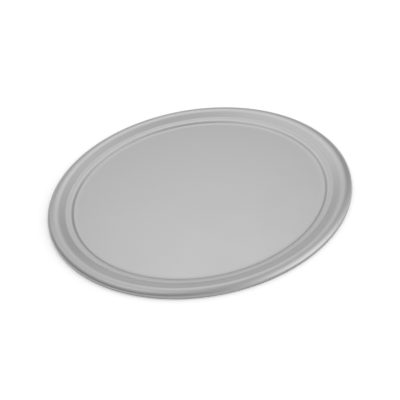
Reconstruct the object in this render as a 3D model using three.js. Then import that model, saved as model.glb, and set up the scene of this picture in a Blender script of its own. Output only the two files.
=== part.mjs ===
// Wide-rim pizza tray, spun from one disc of aluminium sheet with its edge folded back in a hem.
// Millimetres, +Z up. The origin is the centre of the base, where it rests on the table.
import * as THREE from 'three';

// Overall size
const TRAY_DIAMETER = 305; // across the outside of the hemmed edge
const SHEET = 1.0; // thickness of the aluminium

// Lead-in, where the flat base starts to rise before the step
const LEAD_WIDTH = 3.5;
const LEAD_ANGLE = 5; // degrees from level at its outer end

// Small step from the lead-in up to the land
const STEP_RISE = 1.75;
const STEP_ANGLE = 33; // degrees from level
const STEP_BEND = 2.4; // radius of both bends, at the middle of the sheet

// Narrow land between the step and the bank, slightly crowned
const LAND_WIDTH = 3.55;
const LAND_INNER_ANGLE = 8; // degrees from level beside the step
const LAND_OUTER_ANGLE = 2; // degrees from level beside the bank

// Bank from the land up to the crest, the highest ring of the rim
const BANK_RISE = 3.7;
const BANK_ANGLE = 22.5; // degrees from level
const BANK_BEND = 6.5; // radius of the bend at the foot of the bank
const CREST_BEND = 14.5; // radius of the bend at the top of the bank

// Shoulder that rolls from the crest down to the upright edge
const SHOULDER_BEND = 8.0; // radius on the crest's side
const SHOULDER_ANGLE = 44; // degrees below level where the tighter bend starts
const EDGE_BEND = 2.6; // radius of the tighter bend at the upright edge

// Hem, where the edge is folded back under the rim
const HEM_GAP = 0.2; // open space inside the fold
const HEM_LEG = 1.0; // straight end of the fold, pointing up
const EDGE_CLEARANCE = 0.2; // height of the hem above the table

// Fineness of the facets
const SEGMENTS = 72; // around the tray
const BEND_STEP = 10; // degrees for each facet of a bend
const SWEEP_STEPS = 2; // facets of the lead-in and of the land
const HEM_STEPS = 6;

const radians = THREE.MathUtils.degToRad;

// Follows the middle of the sheet outwards from a starting radius, in the plane of radius and height.
// A station is a point of the middle line and the direction in which the sheet runs there.
class SheetPath {
  constructor(startRadius) {
    this.point = new THREE.Vector2(startRadius, SHEET / 2);
    this.heading = 0;
    this.stations = [];
    this.addStation();
  }

  addStation() {
    this.stations.push({ point: this.point.clone(), heading: this.heading });
  }

  // Straight stretch in the present direction
  run(length) {
    this.point.x += length * Math.cos(this.heading);
    this.point.y += length * Math.sin(this.heading);
    this.addStation();
  }

  // Round bend to a new direction, turning up or down as needed
  bendTo(newHeading, radius, steps) {
    const start = this.heading;
    const side = Math.sign(newHeading - start);
    const centre = new THREE.Vector2(
      this.point.x - side * radius * Math.sin(start),
      this.point.y + side * radius * Math.cos(start),
    );
    for (let step = 1; step <= steps; step += 1) {
      this.heading = THREE.MathUtils.lerp(start, newHeading, step / steps);
      this.point.x = centre.x + side * radius * Math.sin(this.heading);
      this.point.y = centre.y - side * radius * Math.cos(this.heading);
      this.addStation();
    }
  }

  // Gentle bend to a new direction over a given level width
  sweepTo(newHeading, width) {
    const turn = Math.abs(Math.sin(newHeading) - Math.sin(this.heading));
    this.bendTo(newHeading, width / turn, SWEEP_STEPS);
  }
}

// Number of facets for a bend between two directions
function bendSteps(from, to) {
  return Math.ceil(Math.abs(to - from) / radians(BEND_STEP));
}

// Climbs by a given rise on a straight slope between two bends, and leaves at a given direction.
// The bends are kept small enough for the slope to hold both of them.
function climb(path, rise, slope, leaveAt, footRadius, headRadius) {
  const footShare = Math.cos(path.heading) - Math.cos(slope);
  const headShare = Math.cos(leaveAt) - Math.cos(slope);
  const bendRise = footRadius * footShare + headRadius * headShare;
  const fit = Math.min(1, rise / bendRise);
  path.bendTo(slope, footRadius * fit, bendSteps(path.heading, slope));
  path.run((rise - bendRise * fit) / Math.sin(slope));
  path.bendTo(leaveAt, headRadius * fit, bendSteps(slope, leaveAt));
}

// Rolls from level over the shoulder to straight down, and ends at a given height.
// The two bends are kept small enough for the drop to hold both of them.
function rollDown(path, endHeight) {
  const slope = radians(SHOULDER_ANGLE);
  const drop = path.point.y - endHeight;
  const bendDrop = SHOULDER_BEND * (1 - Math.cos(slope)) + EDGE_BEND * Math.cos(slope);
  const fit = Math.min(1, drop / bendDrop);
  path.bendTo(-slope, SHOULDER_BEND * fit, bendSteps(0, slope));
  path.bendTo(-Math.PI / 2, EDGE_BEND * fit, bendSteps(slope, Math.PI / 2));
  path.run(drop - bendDrop * fit);
}

// The whole rim, from the edge of the flat base to the end of the hem
function rimStations(flatRadius) {
  const path = new SheetPath(flatRadius);
  path.sweepTo(radians(LEAD_ANGLE), LEAD_WIDTH);
  climb(path, STEP_RISE, radians(STEP_ANGLE), radians(LAND_INNER_ANGLE), STEP_BEND, STEP_BEND);
  path.sweepTo(radians(LAND_OUTER_ANGLE), LAND_WIDTH);
  climb(path, BANK_RISE, radians(BANK_ANGLE), 0, BANK_BEND, CREST_BEND);

  const hemRadius = (HEM_GAP + SHEET) / 2;
  rollDown(path, EDGE_CLEARANCE + SHEET / 2 + hemRadius);
  path.bendTo(-1.5 * Math.PI, hemRadius, HEM_STEPS);
  path.run(HEM_LEG);
  return path.stations;
}

// Face of the sheet at a station: side 1 is the upper, outer face and -1 is the underside
function facePoint(station, side) {
  const offset = (side * SHEET) / 2;
  return new THREE.Vector2(
    station.point.x - offset * Math.sin(station.heading),
    station.point.y + offset * Math.cos(station.heading),
  );
}

// Closed section of the sheet: out along the underside, round the end of the hem and back on top
function traySection() {
  const upperFace = rimStations(0).map((station) => facePoint(station, 1));
  const rimReach = Math.max(...upperFace.map((point) => point.x));
  const stations = rimStations(TRAY_DIAMETER / 2 - rimReach);
  return [
    new THREE.Vector2(0, 0),
    ...stations.map((station) => facePoint(station, -1)),
    ...stations.map((station) => facePoint(station, 1)).reverse(),
    new THREE.Vector2(0, SHEET),
  ];
}

const trayGeometry = new THREE.LatheGeometry(traySection(), SEGMENTS);
trayGeometry.rotateX(Math.PI / 2);

const tray = new THREE.Mesh(
  trayGeometry,
  new THREE.MeshStandardMaterial({ color: 0xb9babc, metalness: 0.9, roughness: 0.4 }),
);
tray.name = 'tray';

const pizzaTray = new THREE.Group();
pizzaTray.add(tray);

export default pizzaTray;
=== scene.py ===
# %% [markdown]
# # A wide-rim pizza tray
#
# The tray is one disc of aluminium sheet that was spun over a former. Its middle is flat, and
# the rim climbs in two waves, a small step and a broad bank, before it rolls over a shoulder to
# an upright edge that is folded back as a hem. This lesson loads the tray's solid model, models
# a smoother tray over it as a spinner would pull it, gives it a satin finish, and lights it.
#
# The solid model fixes the frame: metres, +Z up, with the origin under the middle of the base.

import math

import bpy
from mathutils import Matrix, Vector


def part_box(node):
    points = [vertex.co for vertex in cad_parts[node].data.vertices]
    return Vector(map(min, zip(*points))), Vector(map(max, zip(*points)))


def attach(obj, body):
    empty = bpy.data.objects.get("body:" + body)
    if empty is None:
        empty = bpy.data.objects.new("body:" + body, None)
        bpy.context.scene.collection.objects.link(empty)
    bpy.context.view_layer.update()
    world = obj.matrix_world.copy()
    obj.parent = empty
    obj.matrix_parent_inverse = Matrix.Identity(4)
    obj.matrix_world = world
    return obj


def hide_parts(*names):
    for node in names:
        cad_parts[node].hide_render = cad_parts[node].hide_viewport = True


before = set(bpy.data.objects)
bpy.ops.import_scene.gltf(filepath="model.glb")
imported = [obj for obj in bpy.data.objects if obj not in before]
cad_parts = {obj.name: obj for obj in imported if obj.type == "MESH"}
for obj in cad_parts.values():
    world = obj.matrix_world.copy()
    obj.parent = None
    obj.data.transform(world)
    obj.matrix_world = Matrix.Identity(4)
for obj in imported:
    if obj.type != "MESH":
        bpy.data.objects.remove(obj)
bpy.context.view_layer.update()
_, high_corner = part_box("tray")
TRAY_RADIUS, _, CREST_TOP = Vector(high_corner)
MM = 0.001
print(f"tray radius {TRAY_RADIUS / MM:.1f} mm, height {CREST_TOP / MM:.2f} mm")

# %% [markdown]
# ## The camera
#
# A round tray seen at a slant is an ellipse. The ratio of its axes gives the height of the
# camera over the tray, the slope of its long axis gives the roll of the camera, and the way in
# which the rings of the rim drift apart on the far side gives the distance. The camera could be
# shifted to put the tray in its place in the picture. It is aimed a little to one side instead,
# so that it has no shift when it is moved for another view.

# %% Set the camera
IMAGE_SIDE = 400
CAMERA_ELEVATION = math.radians(37.15)
CAMERA_ROLL = math.radians(9.44)
CAMERA_DISTANCE = 8.0 * TRAY_RADIUS
PIXELS_PER_RADIUS = 152.75
MIDDLE_OF_BASE_PIXEL = Vector((198.52, 195.18))
BASE_TOP = 1.0 * MM
SENSOR_WIDTH = 36.0


def aim_camera():
    """Looks along +Y and down at the tray, with the middle of the base at its own pixel."""
    turn = Matrix.Rotation(math.pi / 2 - CAMERA_ELEVATION, 3, "X")
    turn = turn @ Matrix.Rotation(-CAMERA_ROLL, 3, "Z")
    right, up, backward = turn.col
    pixel = TRAY_RADIUS / PIXELS_PER_RADIUS
    off_centre = Vector((IMAGE_SIDE / 2, IMAGE_SIDE / 2)) - MIDDLE_OF_BASE_PIXEL
    aim = Vector((0.0, 0.0, BASE_TOP)) + (right * off_centre.x - up * off_centre.y) * pixel
    bpy.ops.object.camera_add(location=aim + backward * CAMERA_DISTANCE, rotation=turn.to_euler())
    camera = bpy.context.object
    camera.name = "camera"
    camera.data.sensor_width = SENSOR_WIDTH
    focal_pixels = PIXELS_PER_RADIUS * CAMERA_DISTANCE / TRAY_RADIUS
    camera.data.lens = SENSOR_WIDTH * focal_pixels / IMAGE_SIDE
    bpy.context.scene.camera = camera
    return camera


camera = aim_camera()
print(f"camera {CAMERA_DISTANCE:.2f} m away, lens {camera.data.lens:.1f} mm")

# %% [markdown]
# ## The section of the sheet
#
# Every ring of the tray is set by one drawing: the section of the sheet, from the flat base to
# the end of the hem. It could be traced point by point. Here it is walked, as a bending machine
# would do it: straight on, bend up, straight on, bend down. Each stop on the walk is a radius
# and a height at the middle of the sheet's thickness. The lead-in before the step and the narrow
# land after it are gentle sweeps, bends so wide that they hardly show.

# %% Walk along the section
SHEET = 1.0 * MM
LEAD_WIDTH = 3.5 * MM
LEAD_SLOPE = math.radians(5)
STEP_RISE = 1.75 * MM
STEP_SLOPE = math.radians(33)
STEP_BEND = 2.4 * MM
LAND_WIDTH = 3.55 * MM
LAND_INNER_SLOPE = math.radians(8)
LAND_OUTER_SLOPE = math.radians(2)
BANK_RISE = 3.7 * MM
BANK_SLOPE = math.radians(22.5)
BANK_BEND = 6.5 * MM
CREST_BEND = 14.5 * MM
SHOULDER_SLOPE = math.radians(44)
SHOULDER_BEND = 8.0 * MM
EDGE_BEND = 2.6 * MM
HEM_GAP = 0.2 * MM
HEM_LEG = 1.0 * MM
EDGE_CLEARANCE = 0.2 * MM
STRAIGHT_DOWN = -math.pi / 2
UP_AFTER_FOLD = -1.5 * math.pi
BEND_STEP = math.radians(2.5)
SWEEP_STEPS = 6
HEM_STEPS = 18


class SectionWalk:
    """Stops along the middle of the sheet, as radius and height, from the edge of the flat base."""

    def __init__(self):
        self.place = Vector((0.0, SHEET / 2))
        self.heading = 0.0
        self.stops = [self.place.copy()]

    def straight(self, length):
        """Straight stretch in the present direction."""
        self.place += length * Vector((math.cos(self.heading), math.sin(self.heading)))
        self.stops.append(self.place.copy())

    def bend(self, new_heading, radius, steps=0):
        """Round bend to a new direction, up or down as needed."""
        steps = steps or math.ceil(abs(new_heading - self.heading) / BEND_STEP)
        side = math.copysign(radius, new_heading - self.heading)
        centre = self.place + side * Vector((-math.sin(self.heading), math.cos(self.heading)))
        start = self.heading
        for step in range(1, steps + 1):
            self.heading = start + (new_heading - start) * step / steps
            self.place = centre + side * Vector((math.sin(self.heading), -math.cos(self.heading)))
            self.stops.append(self.place.copy())

    def sweep(self, new_heading, width):
        """Gentle bend to a new direction over a level width."""
        turn = abs(math.sin(new_heading) - math.sin(self.heading))
        self.bend(new_heading, width / turn, SWEEP_STEPS)

    def climb(self, rise, slope, leave, foot_bend, head_bend):
        """Straight slope between two bends that rises by a given height."""
        in_bends = foot_bend * (math.cos(self.heading) - math.cos(slope))
        in_bends += head_bend * (math.cos(leave) - math.cos(slope))
        self.bend(slope, foot_bend)
        self.straight((rise - in_bends) / math.sin(slope))
        self.bend(leave, head_bend)


def walk_rim():
    """The whole rim, from the edge of the flat base to the end of the hem."""
    walk = SectionWalk()
    walk.sweep(LEAD_SLOPE, LEAD_WIDTH)
    walk.climb(STEP_RISE, STEP_SLOPE, LAND_INNER_SLOPE, STEP_BEND, STEP_BEND)
    walk.sweep(LAND_OUTER_SLOPE, LAND_WIDTH)
    walk.climb(BANK_RISE, BANK_SLOPE, 0.0, BANK_BEND, CREST_BEND)
    walk.bend(-SHOULDER_SLOPE, SHOULDER_BEND)
    walk.bend(STRAIGHT_DOWN, EDGE_BEND)
    hem_bend = (HEM_GAP + SHEET) / 2
    walk.straight(walk.place.y - (EDGE_CLEARANCE + SHEET / 2 + hem_bend))
    walk.bend(UP_AFTER_FOLD, hem_bend, HEM_STEPS)
    walk.straight(HEM_LEG)
    return walk.stops


rim_stops = walk_rim()
rim_reach = max(stop.x for stop in rim_stops) + SHEET / 2
FLAT_RADIUS = TRAY_RADIUS - rim_reach
print(f"{len(rim_stops)} stops, flat base {2 * FLAT_RADIUS / MM:.1f} mm across")

# %% [markdown]
# ## Pulling the tray
#
# A spinner starts with a flat disc and pulls its edge out and up, ring by ring. The same is done
# here: a filled circle is the base, and its edge is extruded once for each stop of the section,
# widened to that stop's radius and raised to its height. Solidify then gives the sheet its
# thickness, half on each side of the rings, and closes the cut edge inside the hem. A revolved
# curve would make the same form, but in this way each ring can be seen being made.

# %% Pull the rim out of a disc
POINTS_AROUND = 240
FLAT_MARGINS = (3.0 * MM, 12.0 * MM, 40.0 * MM)
SMOOTH_UP_TO = math.radians(35)


def pull_tray():
    """Extrudes the edge of a filled circle once for each stop of the section."""
    bpy.ops.object.select_all(action="DESELECT")
    bpy.ops.mesh.primitive_circle_add(
        vertices=POINTS_AROUND, radius=FLAT_RADIUS, fill_type="NGON", location=(0, 0, SHEET / 2)
    )
    tray = bpy.context.object
    tray.name = "tray_sheet"
    bpy.ops.object.transform_apply(location=True, rotation=True, scale=True)
    bpy.ops.object.mode_set(mode="EDIT")
    bpy.ops.mesh.select_all(action="SELECT")
    bpy.ops.mesh.region_to_loop()
    radius, height = FLAT_RADIUS, SHEET / 2
    for stop in rim_stops[1:]:
        new_radius = FLAT_RADIUS + stop.x
        growth = new_radius / radius
        bpy.ops.mesh.extrude_edges_move()
        bpy.ops.transform.resize(value=(growth, growth, 1), center_override=(0, 0, 0))
        bpy.ops.transform.translate(value=(0, 0, stop.y - height))
        radius, height = new_radius, stop.y
    bpy.ops.object.mode_set(mode="OBJECT")
    return tray


def ring_the_base(tray):
    """Insets the base, so that its flat middle keeps flat shading beside the first bend."""
    bpy.ops.object.mode_set(mode="EDIT")
    bpy.ops.mesh.select_all(action="DESELECT")
    bpy.ops.object.mode_set(mode="OBJECT")
    base = max(tray.data.polygons, key=lambda face: face.area)
    base.select = True
    bpy.ops.object.mode_set(mode="EDIT")
    for margin in FLAT_MARGINS:
        bpy.ops.mesh.inset(thickness=margin)
    bpy.ops.mesh.poke()
    bpy.ops.object.mode_set(mode="OBJECT")


def thicken(tray):
    """Gives the sheet its thickness, and smooth shading except at its sharp edges."""
    solidify = tray.modifiers.new("sheet thickness", "SOLIDIFY")
    solidify.thickness = SHEET
    solidify.offset = 0.0
    solidify.use_even_offset = True
    bpy.ops.object.modifier_apply(modifier=solidify.name)
    bpy.ops.object.shade_smooth_by_angle(angle=SMOOTH_UP_TO)


tray = pull_tray()
ring_the_base(tray)
thicken(tray)
print(f"tray of {len(tray.data.polygons)} faces, {len(tray.data.vertices)} points")

# %% [markdown]
# ## Writing shaders as sums
#
# A material is a net of nodes, but a reader follows a formula more easily. So `Value` wraps one
# socket and lets the usual signs add Math nodes, and `Shader` adds any other kind of node.

# %% A socket that can be added and multiplied


class Value:
    """A node's output socket, used as a number in Python expressions."""

    def __init__(self, tree, socket):
        self.tree = tree
        self.socket = socket

    def beside(self, name):
        """Another output of the same node."""
        return Value(self.tree, self.socket.node.outputs[name])

    def math(self, operation, *inputs):
        """Math node on the given inputs, or on this value alone."""
        return Shader(self.tree).node(
            "ShaderNodeMath", {"operation": operation}, dict(enumerate(inputs or (self,)))
        )

    def __add__(self, other):
        return self.math("ADD", self, other)

    def __radd__(self, other):
        return self.math("ADD", other, self)

    def __sub__(self, other):
        return self.math("SUBTRACT", self, other)

    def __rsub__(self, other):
        return self.math("SUBTRACT", other, self)

    def __mul__(self, other):
        return self.math("MULTIPLY", self, other)

    def __rmul__(self, other):
        return self.math("MULTIPLY", other, self)


class Shader:
    """Adds nodes to one node tree."""

    def __init__(self, tree):
        self.tree = tree

    def node(self, kind, settings=None, sockets=None, output=0):
        """Adds a node with these settings and inputs, and returns the wanted output."""
        made = self.tree.nodes.new(kind)
        for name, setting in (settings or {}).items():
            setattr(made, name, setting)
        for name, value in (sockets or {}).items():
            if isinstance(value, Value):
                self.tree.links.new(value.socket, made.inputs[name])
            else:
                made.inputs[name].default_value = value
        return Value(self.tree, made.outputs[output]) if made.outputs else None


def new_material(name):
    material = bpy.data.materials.new(name)
    material.use_nodes = True
    material.node_tree.nodes.clear()
    return material, Shader(material.node_tree)


print("shader sums ready")

# %% [markdown]
# ## Satin aluminium
#
# The sheet is bare aluminium with a satin finish: a soft grey metal with no sharp reflection. A
# single grey with one roughness would look like plastic, so several things are laid over each other,
# most of them faint because the tray is nearly new:
#
# - rings about a millimetre apart, which the spinner's tool leaves
# - a fine grain all over, from the satin finish itself
# - broad cloudy patches, where hands and washing have dulled the metal a little
# - a few hairlines in three directions, as fine as a cutter's edge
# - the folds at the foot of the step and of the bank: rougher, with painted shade in the creases
# - painted shade as a thin dark line in the crease of the step, and painted light on the face of
#   the step around it, which is also a little rougher
# - the land beside the step: painted shade over it, and a little more roughness
# - the crest, a little darker and rougher along its top, and the hem, which is rougher and
#   carries painted shade that darkens the reflection along the edge
#
# Each mark is a number that varies over the tray. Two tables say how much the marks add to the
# roughness and to the brightness of the metal, and a third gives the finest ones a little relief.

# %% Make the satin aluminium
ALUMINIUM_GREY = (0.505, 0.505, 0.505)
SATIN_ROUGHNESS = 0.36
NOISE_MIDDLE = 0.5
RING_SPACING = 0.9 * MM
RING_DETAIL = 3.0
RING_FINENESS = 0.6
GRAIN_SIZE = 0.4 * MM
GRAIN_DETAIL = 2.0
CLOUD_SIZE = 55.0 * MM
CLOUD_DETAIL = 4.0
HAIRLINE_SIZE = Vector((90.0 * MM, 0.6 * MM, 90.0 * MM))
HAIRLINE_TURNS = (18, 71, 134)
HAIRLINE_DETAIL = 1.0
HAIRLINE_START = 0.70
HAIRLINE_FULL = 0.76
# Painted shade: the folds at the foot of the step and of the bank are painted a little darker.
FOLD_RADII = (FLAT_RADIUS + LEAD_WIDTH, FLAT_RADIUS + 12.0 * MM)
FOLD_WIDTH = 2.5 * MM
# Painted light: the face of the step is painted a little lighter around the crease.
STEP_FACE_RADIUS = FLAT_RADIUS + 5.3 * MM
STEP_FACE_WIDTH = 3.0 * MM
# Painted shade: a thin dark line is painted in the crease of the step.
CREASE_RADIUS = FLAT_RADIUS + 4.9 * MM
CREASE_WIDTH = 0.6 * MM
# Painted shade: the land beside the step is painted a little darker.
LAND_RADIUS = FLAT_RADIUS + 9.2 * MM
LAND_SHADE_WIDTH = 2.6 * MM
# The top of the crest is a little darker and rougher over this depth.
CREST_BAND_DEPTH = 0.6 * MM
# Painted shade: the hem is painted dark, which darkens the reflection along the outer edge.
HEM_WIDTH = 3.0 * MM
HEM_HEIGHT = 4.0 * MM
HEM_LEAST_SHADE = 0.6
HEM_CLOUD_SHARE = 0.8
ADDED_ROUGHNESS = {
    "clouds": 0.10,
    "rings": 0.06,
    "folds": 0.03,
    "step face": 0.03,
    "land": 0.02,
    "crest": 0.01,
    "hem": 0.05,
    "hairlines": -0.05,
}
ADDED_BRIGHTNESS = {
    "clouds": 0.05,
    "grain": 0.03,
    # painted shade in the folds
    "folds": -0.015,
    # painted light on the face of the step
    "step face": 0.06,
    # painted shade in the crease of the step
    "crease": -0.18,
    # painted shade on the land
    "land": -0.05,
    # darker along the top of the crest
    "crest": -0.04,
    # painted shade on the hem, for a darker reflection along the edge
    "hem": -0.30,
}
RELIEF_SHARES = {"rings": 0.7, "grain": 0.3, "hairlines": -0.4}
RELIEF_DEPTH = 0.05 * MM
RELIEF_STRENGTH = 0.08


def fade(shader, value, low, high):
    """0 at low and before it, 1 at high and beyond, smooth between them. Low may be the larger."""
    return shader.node(
        "ShaderNodeMapRange",
        {"interpolation_type": "SMOOTHSTEP"},
        {"Value": value, "From Min": low, "From Max": high},
    )


def ring_mark(shader, radius, middle, width):
    """1 on one ring of the tray, with a smooth fall to 0 at the given width on both sides of it."""
    return 1.0 - fade(shader, (radius - middle).math("ABSOLUTE"), 0.0, width)


def noise(shader, place, size, detail):
    return shader.node(
        "ShaderNodeTexNoise", sockets={"Vector": place, "Scale": 1.0 / size, "Detail": detail}
    )


def hairlines(shader, place):
    """Long thin flecks: a noise that is stretched far more one way than the other."""
    flecks = 0.0
    for turn in HAIRLINE_TURNS:
        along = shader.node(
            "ShaderNodeMapping",
            {"vector_type": "TEXTURE"},
            {"Vector": place, "Rotation": (0.0, 0.0, math.radians(turn)), "Scale": HAIRLINE_SIZE},
        )
        streaks = noise(shader, along, 1.0, HAIRLINE_DETAIL)
        flecks = flecks + fade(shader, streaks, HAIRLINE_START, HAIRLINE_FULL)
    return flecks


def finish_marks(shader):
    """The marks by name. Noises are centred on 0, and all other marks run from 0 to about 1."""
    place = shader.node("ShaderNodeTexCoord", output="Object")
    x = shader.node("ShaderNodeSeparateXYZ", sockets={"Vector": place}, output="X")
    y, z = x.beside("Y"), x.beside("Z")
    radius = (x * x + y * y).math("SQRT")
    rings = shader.node(
        "ShaderNodeTexNoise",
        {"noise_dimensions": "1D"},
        {
            "W": radius,
            "Scale": 1.0 / RING_SPACING,
            "Detail": RING_DETAIL,
            "Roughness": RING_FINENESS,
        },
    )
    clouds = noise(shader, place, CLOUD_SIZE, CLOUD_DETAIL)
    at_edge = fade(shader, radius, TRAY_RADIUS - HEM_WIDTH, TRAY_RADIUS - HEM_WIDTH / 2)
    at_hem = at_edge * fade(shader, z, HEM_HEIGHT, HEM_HEIGHT / 2)
    return {
        "rings": rings - NOISE_MIDDLE,
        "grain": noise(shader, place, GRAIN_SIZE, GRAIN_DETAIL) - NOISE_MIDDLE,
        "clouds": clouds - NOISE_MIDDLE,
        "hairlines": hairlines(shader, place),
        # painted shade in the folds, and roughness
        "folds": sum(ring_mark(shader, radius, fold, FOLD_WIDTH) for fold in FOLD_RADII),
        # painted light on the face of the step, and roughness
        "step face": ring_mark(shader, radius, STEP_FACE_RADIUS, STEP_FACE_WIDTH),
        # painted shade in the crease
        "crease": ring_mark(shader, radius, CREASE_RADIUS, CREASE_WIDTH),
        # painted shade on the land, and roughness
        "land": ring_mark(shader, radius, LAND_RADIUS, LAND_SHADE_WIDTH),
        # darker and rougher along the top of the crest
        "crest": fade(shader, z, CREST_TOP - CREST_BAND_DEPTH, CREST_TOP),
        # painted shade on the hem, and roughness
        "hem": at_hem * (HEM_LEAST_SHADE + clouds * HEM_CLOUD_SHARE),
    }


def add_up(marks, shares):
    """Sum of the marks in a table, each times its own share."""
    return sum(marks[name] * share for name, share in shares.items())


def satin_aluminium():
    material, shader = new_material("satin_aluminium")
    marks = finish_marks(shader)
    brightness = 1.0 + add_up(marks, ADDED_BRIGHTNESS)
    colour = shader.node(
        "ShaderNodeVectorMath", {"operation": "SCALE"}, {0: ALUMINIUM_GREY, "Scale": brightness}
    )
    bump = shader.node(
        "ShaderNodeBump",
        sockets={
            "Height": add_up(marks, RELIEF_SHARES),
            "Strength": RELIEF_STRENGTH,
            "Distance": RELIEF_DEPTH,
        },
    )
    surface = shader.node(
        "ShaderNodeBsdfPrincipled",
        sockets={
            "Base Color": colour,
            "Metallic": 1.0,
            "Roughness": SATIN_ROUGHNESS + add_up(marks, ADDED_ROUGHNESS),
            "Normal": bump,
        },
    )
    shader.node("ShaderNodeOutputMaterial", sockets={"Surface": surface})
    return material


tray.data.materials.append(satin_aluminium())
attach(tray, "root")
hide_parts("tray")
print("tray finished in", tray.data.materials[0].name)

# %% [markdown]
# ## The studio
#
# Bare metal shows its surroundings, so the room matters as much as the lamps. Lamps alone would
# leave a separate spot for each of them on a satin sheet. Here one softbox hangs beyond the far
# edge, and the rest of the light comes from soft patches on the walls of a dim room, each brightest
# in one direction and fading from there like a bell.
#
# - The softbox and the patch above the far edge light the flat base, the near half a little more.
# - The broad patch on the right draws the highlight along the front of the shoulder.
# - The low patch beyond the tray lights the bank that is nearest to the viewer.
# - The two patches on the left light the bank on the far right.
# - The side behind the viewer stays dim, which gives the near edge its dark line. One weak patch
#   there keeps the tray from going black when it is seen from the far side.

# %% Light the room
ROOM_LEVEL = 0.3
ROOM_COLOUR = (1.0, 1.0, 1.0, 1.0)
WALL_LIGHTS = {
    "broad light on the right": {"azimuth": 109, "elevation": 27, "sharpness": 4.1, "level": 1.45},
    "light above the far edge": {"azimuth": 9, "elevation": 52, "sharpness": 18.6, "level": 0.66},
    "light high on the left": {"azimuth": -77, "elevation": 63, "sharpness": 16.8, "level": 0.96},
    "light on the far left": {"azimuth": -36, "elevation": 33, "sharpness": 20.0, "level": 0.75},
    "low light beyond the tray": {"azimuth": 1, "elevation": -12, "sharpness": 14.0, "level": 1.36},
    "dim light behind the viewer": {"azimuth": 200, "elevation": 3, "sharpness": 9.0, "level": 0.30},
}


def direction_to(azimuth, elevation):
    """Unit vector towards a direction in degrees. Azimuth 0 is the far side, and 90 the right."""
    azimuth, elevation = math.radians(azimuth), math.radians(elevation)
    level = Vector((math.sin(azimuth), math.cos(azimuth), 0.0)) * math.cos(elevation)
    return level + Vector((0.0, 0.0, math.sin(elevation)))


def dim_room():
    world = bpy.data.worlds.new("dim_room")
    world.use_nodes = True
    world.node_tree.nodes.clear()
    shader = Shader(world.node_tree)
    direction = shader.node("ShaderNodeTexCoord", output="Generated")
    brightness = ROOM_LEVEL
    for light in WALL_LIGHTS.values():
        facing = shader.node(
            "ShaderNodeVectorMath",
            {"operation": "DOT_PRODUCT"},
            {0: direction, 1: direction_to(light["azimuth"], light["elevation"])},
            output="Value",
        )
        bell = ((facing - 1.0) * light["sharpness"]).math("EXPONENT")
        brightness = brightness + bell * light["level"]
    background = shader.node(
        "ShaderNodeBackground", sockets={"Color": ROOM_COLOUR, "Strength": brightness}
    )
    shader.node("ShaderNodeOutputWorld", sockets={"Surface": background})
    bpy.context.scene.world = world


def softbox(name, azimuth, elevation, distance, side, radiance):
    """Square lamp that faces the middle of the tray and looks equally bright at any size."""
    towards = direction_to(azimuth, elevation)
    turn = towards.to_track_quat("Z", "Y").to_euler()
    bpy.ops.object.light_add(type="AREA", location=towards * distance, rotation=turn)
    lamp = bpy.context.object
    lamp.name = name
    lamp.data.shape = "SQUARE"
    lamp.data.size = side
    lamp.data.energy = radiance * math.pi * side * side


dim_room()
softbox("far_softbox", azimuth=0, elevation=46, distance=1.4, side=0.6, radiance=0.59)
print(f"one softbox and {len(WALL_LIGHTS)} lights on the walls")

# %% [markdown]
# ## The floor
#
# The tray lies on a white sweep of paper. Paper in this soft light would come out grey, so it is
# lifted to white by a little emission, but only for rays from the camera and for the rays that the
# metal reflects. Its own diffuse part stays, and keeps the soft shadow under the rim.

# %% Lay the white floor
FLOOR_SIDE = 12.0
FLOOR_DROP = 0.1 * MM
PAPER_WHITE = (0.9, 0.9, 0.9, 1.0)
PAPER_LIFT = 0.3


def white_paper():
    material, shader = new_material("white_paper")
    seen = shader.node("ShaderNodeLightPath", output="Is Camera Ray")
    lifted = seen + seen.beside("Is Glossy Ray") + seen.beside("Is Transmission Ray")
    paper = shader.node("ShaderNodeBsdfDiffuse", sockets={"Color": PAPER_WHITE})
    glow = shader.node("ShaderNodeEmission", sockets={"Strength": lifted * PAPER_LIFT})
    surface = shader.node("ShaderNodeAddShader", sockets={0: paper, 1: glow})
    shader.node("ShaderNodeOutputMaterial", sockets={"Surface": surface})
    return material


bpy.ops.mesh.primitive_plane_add(size=FLOOR_SIDE, location=(0, 0, -FLOOR_DROP))
floor = bpy.context.object
floor.name = "floor"
floor.data.materials.append(white_paper())
print("floor laid")

# %% [markdown]
# ## Finish
#
# The picture is shown without a film curve, so that colours come out as written.

# %% Finish
bpy.context.scene.view_settings.view_transform = "Standard"
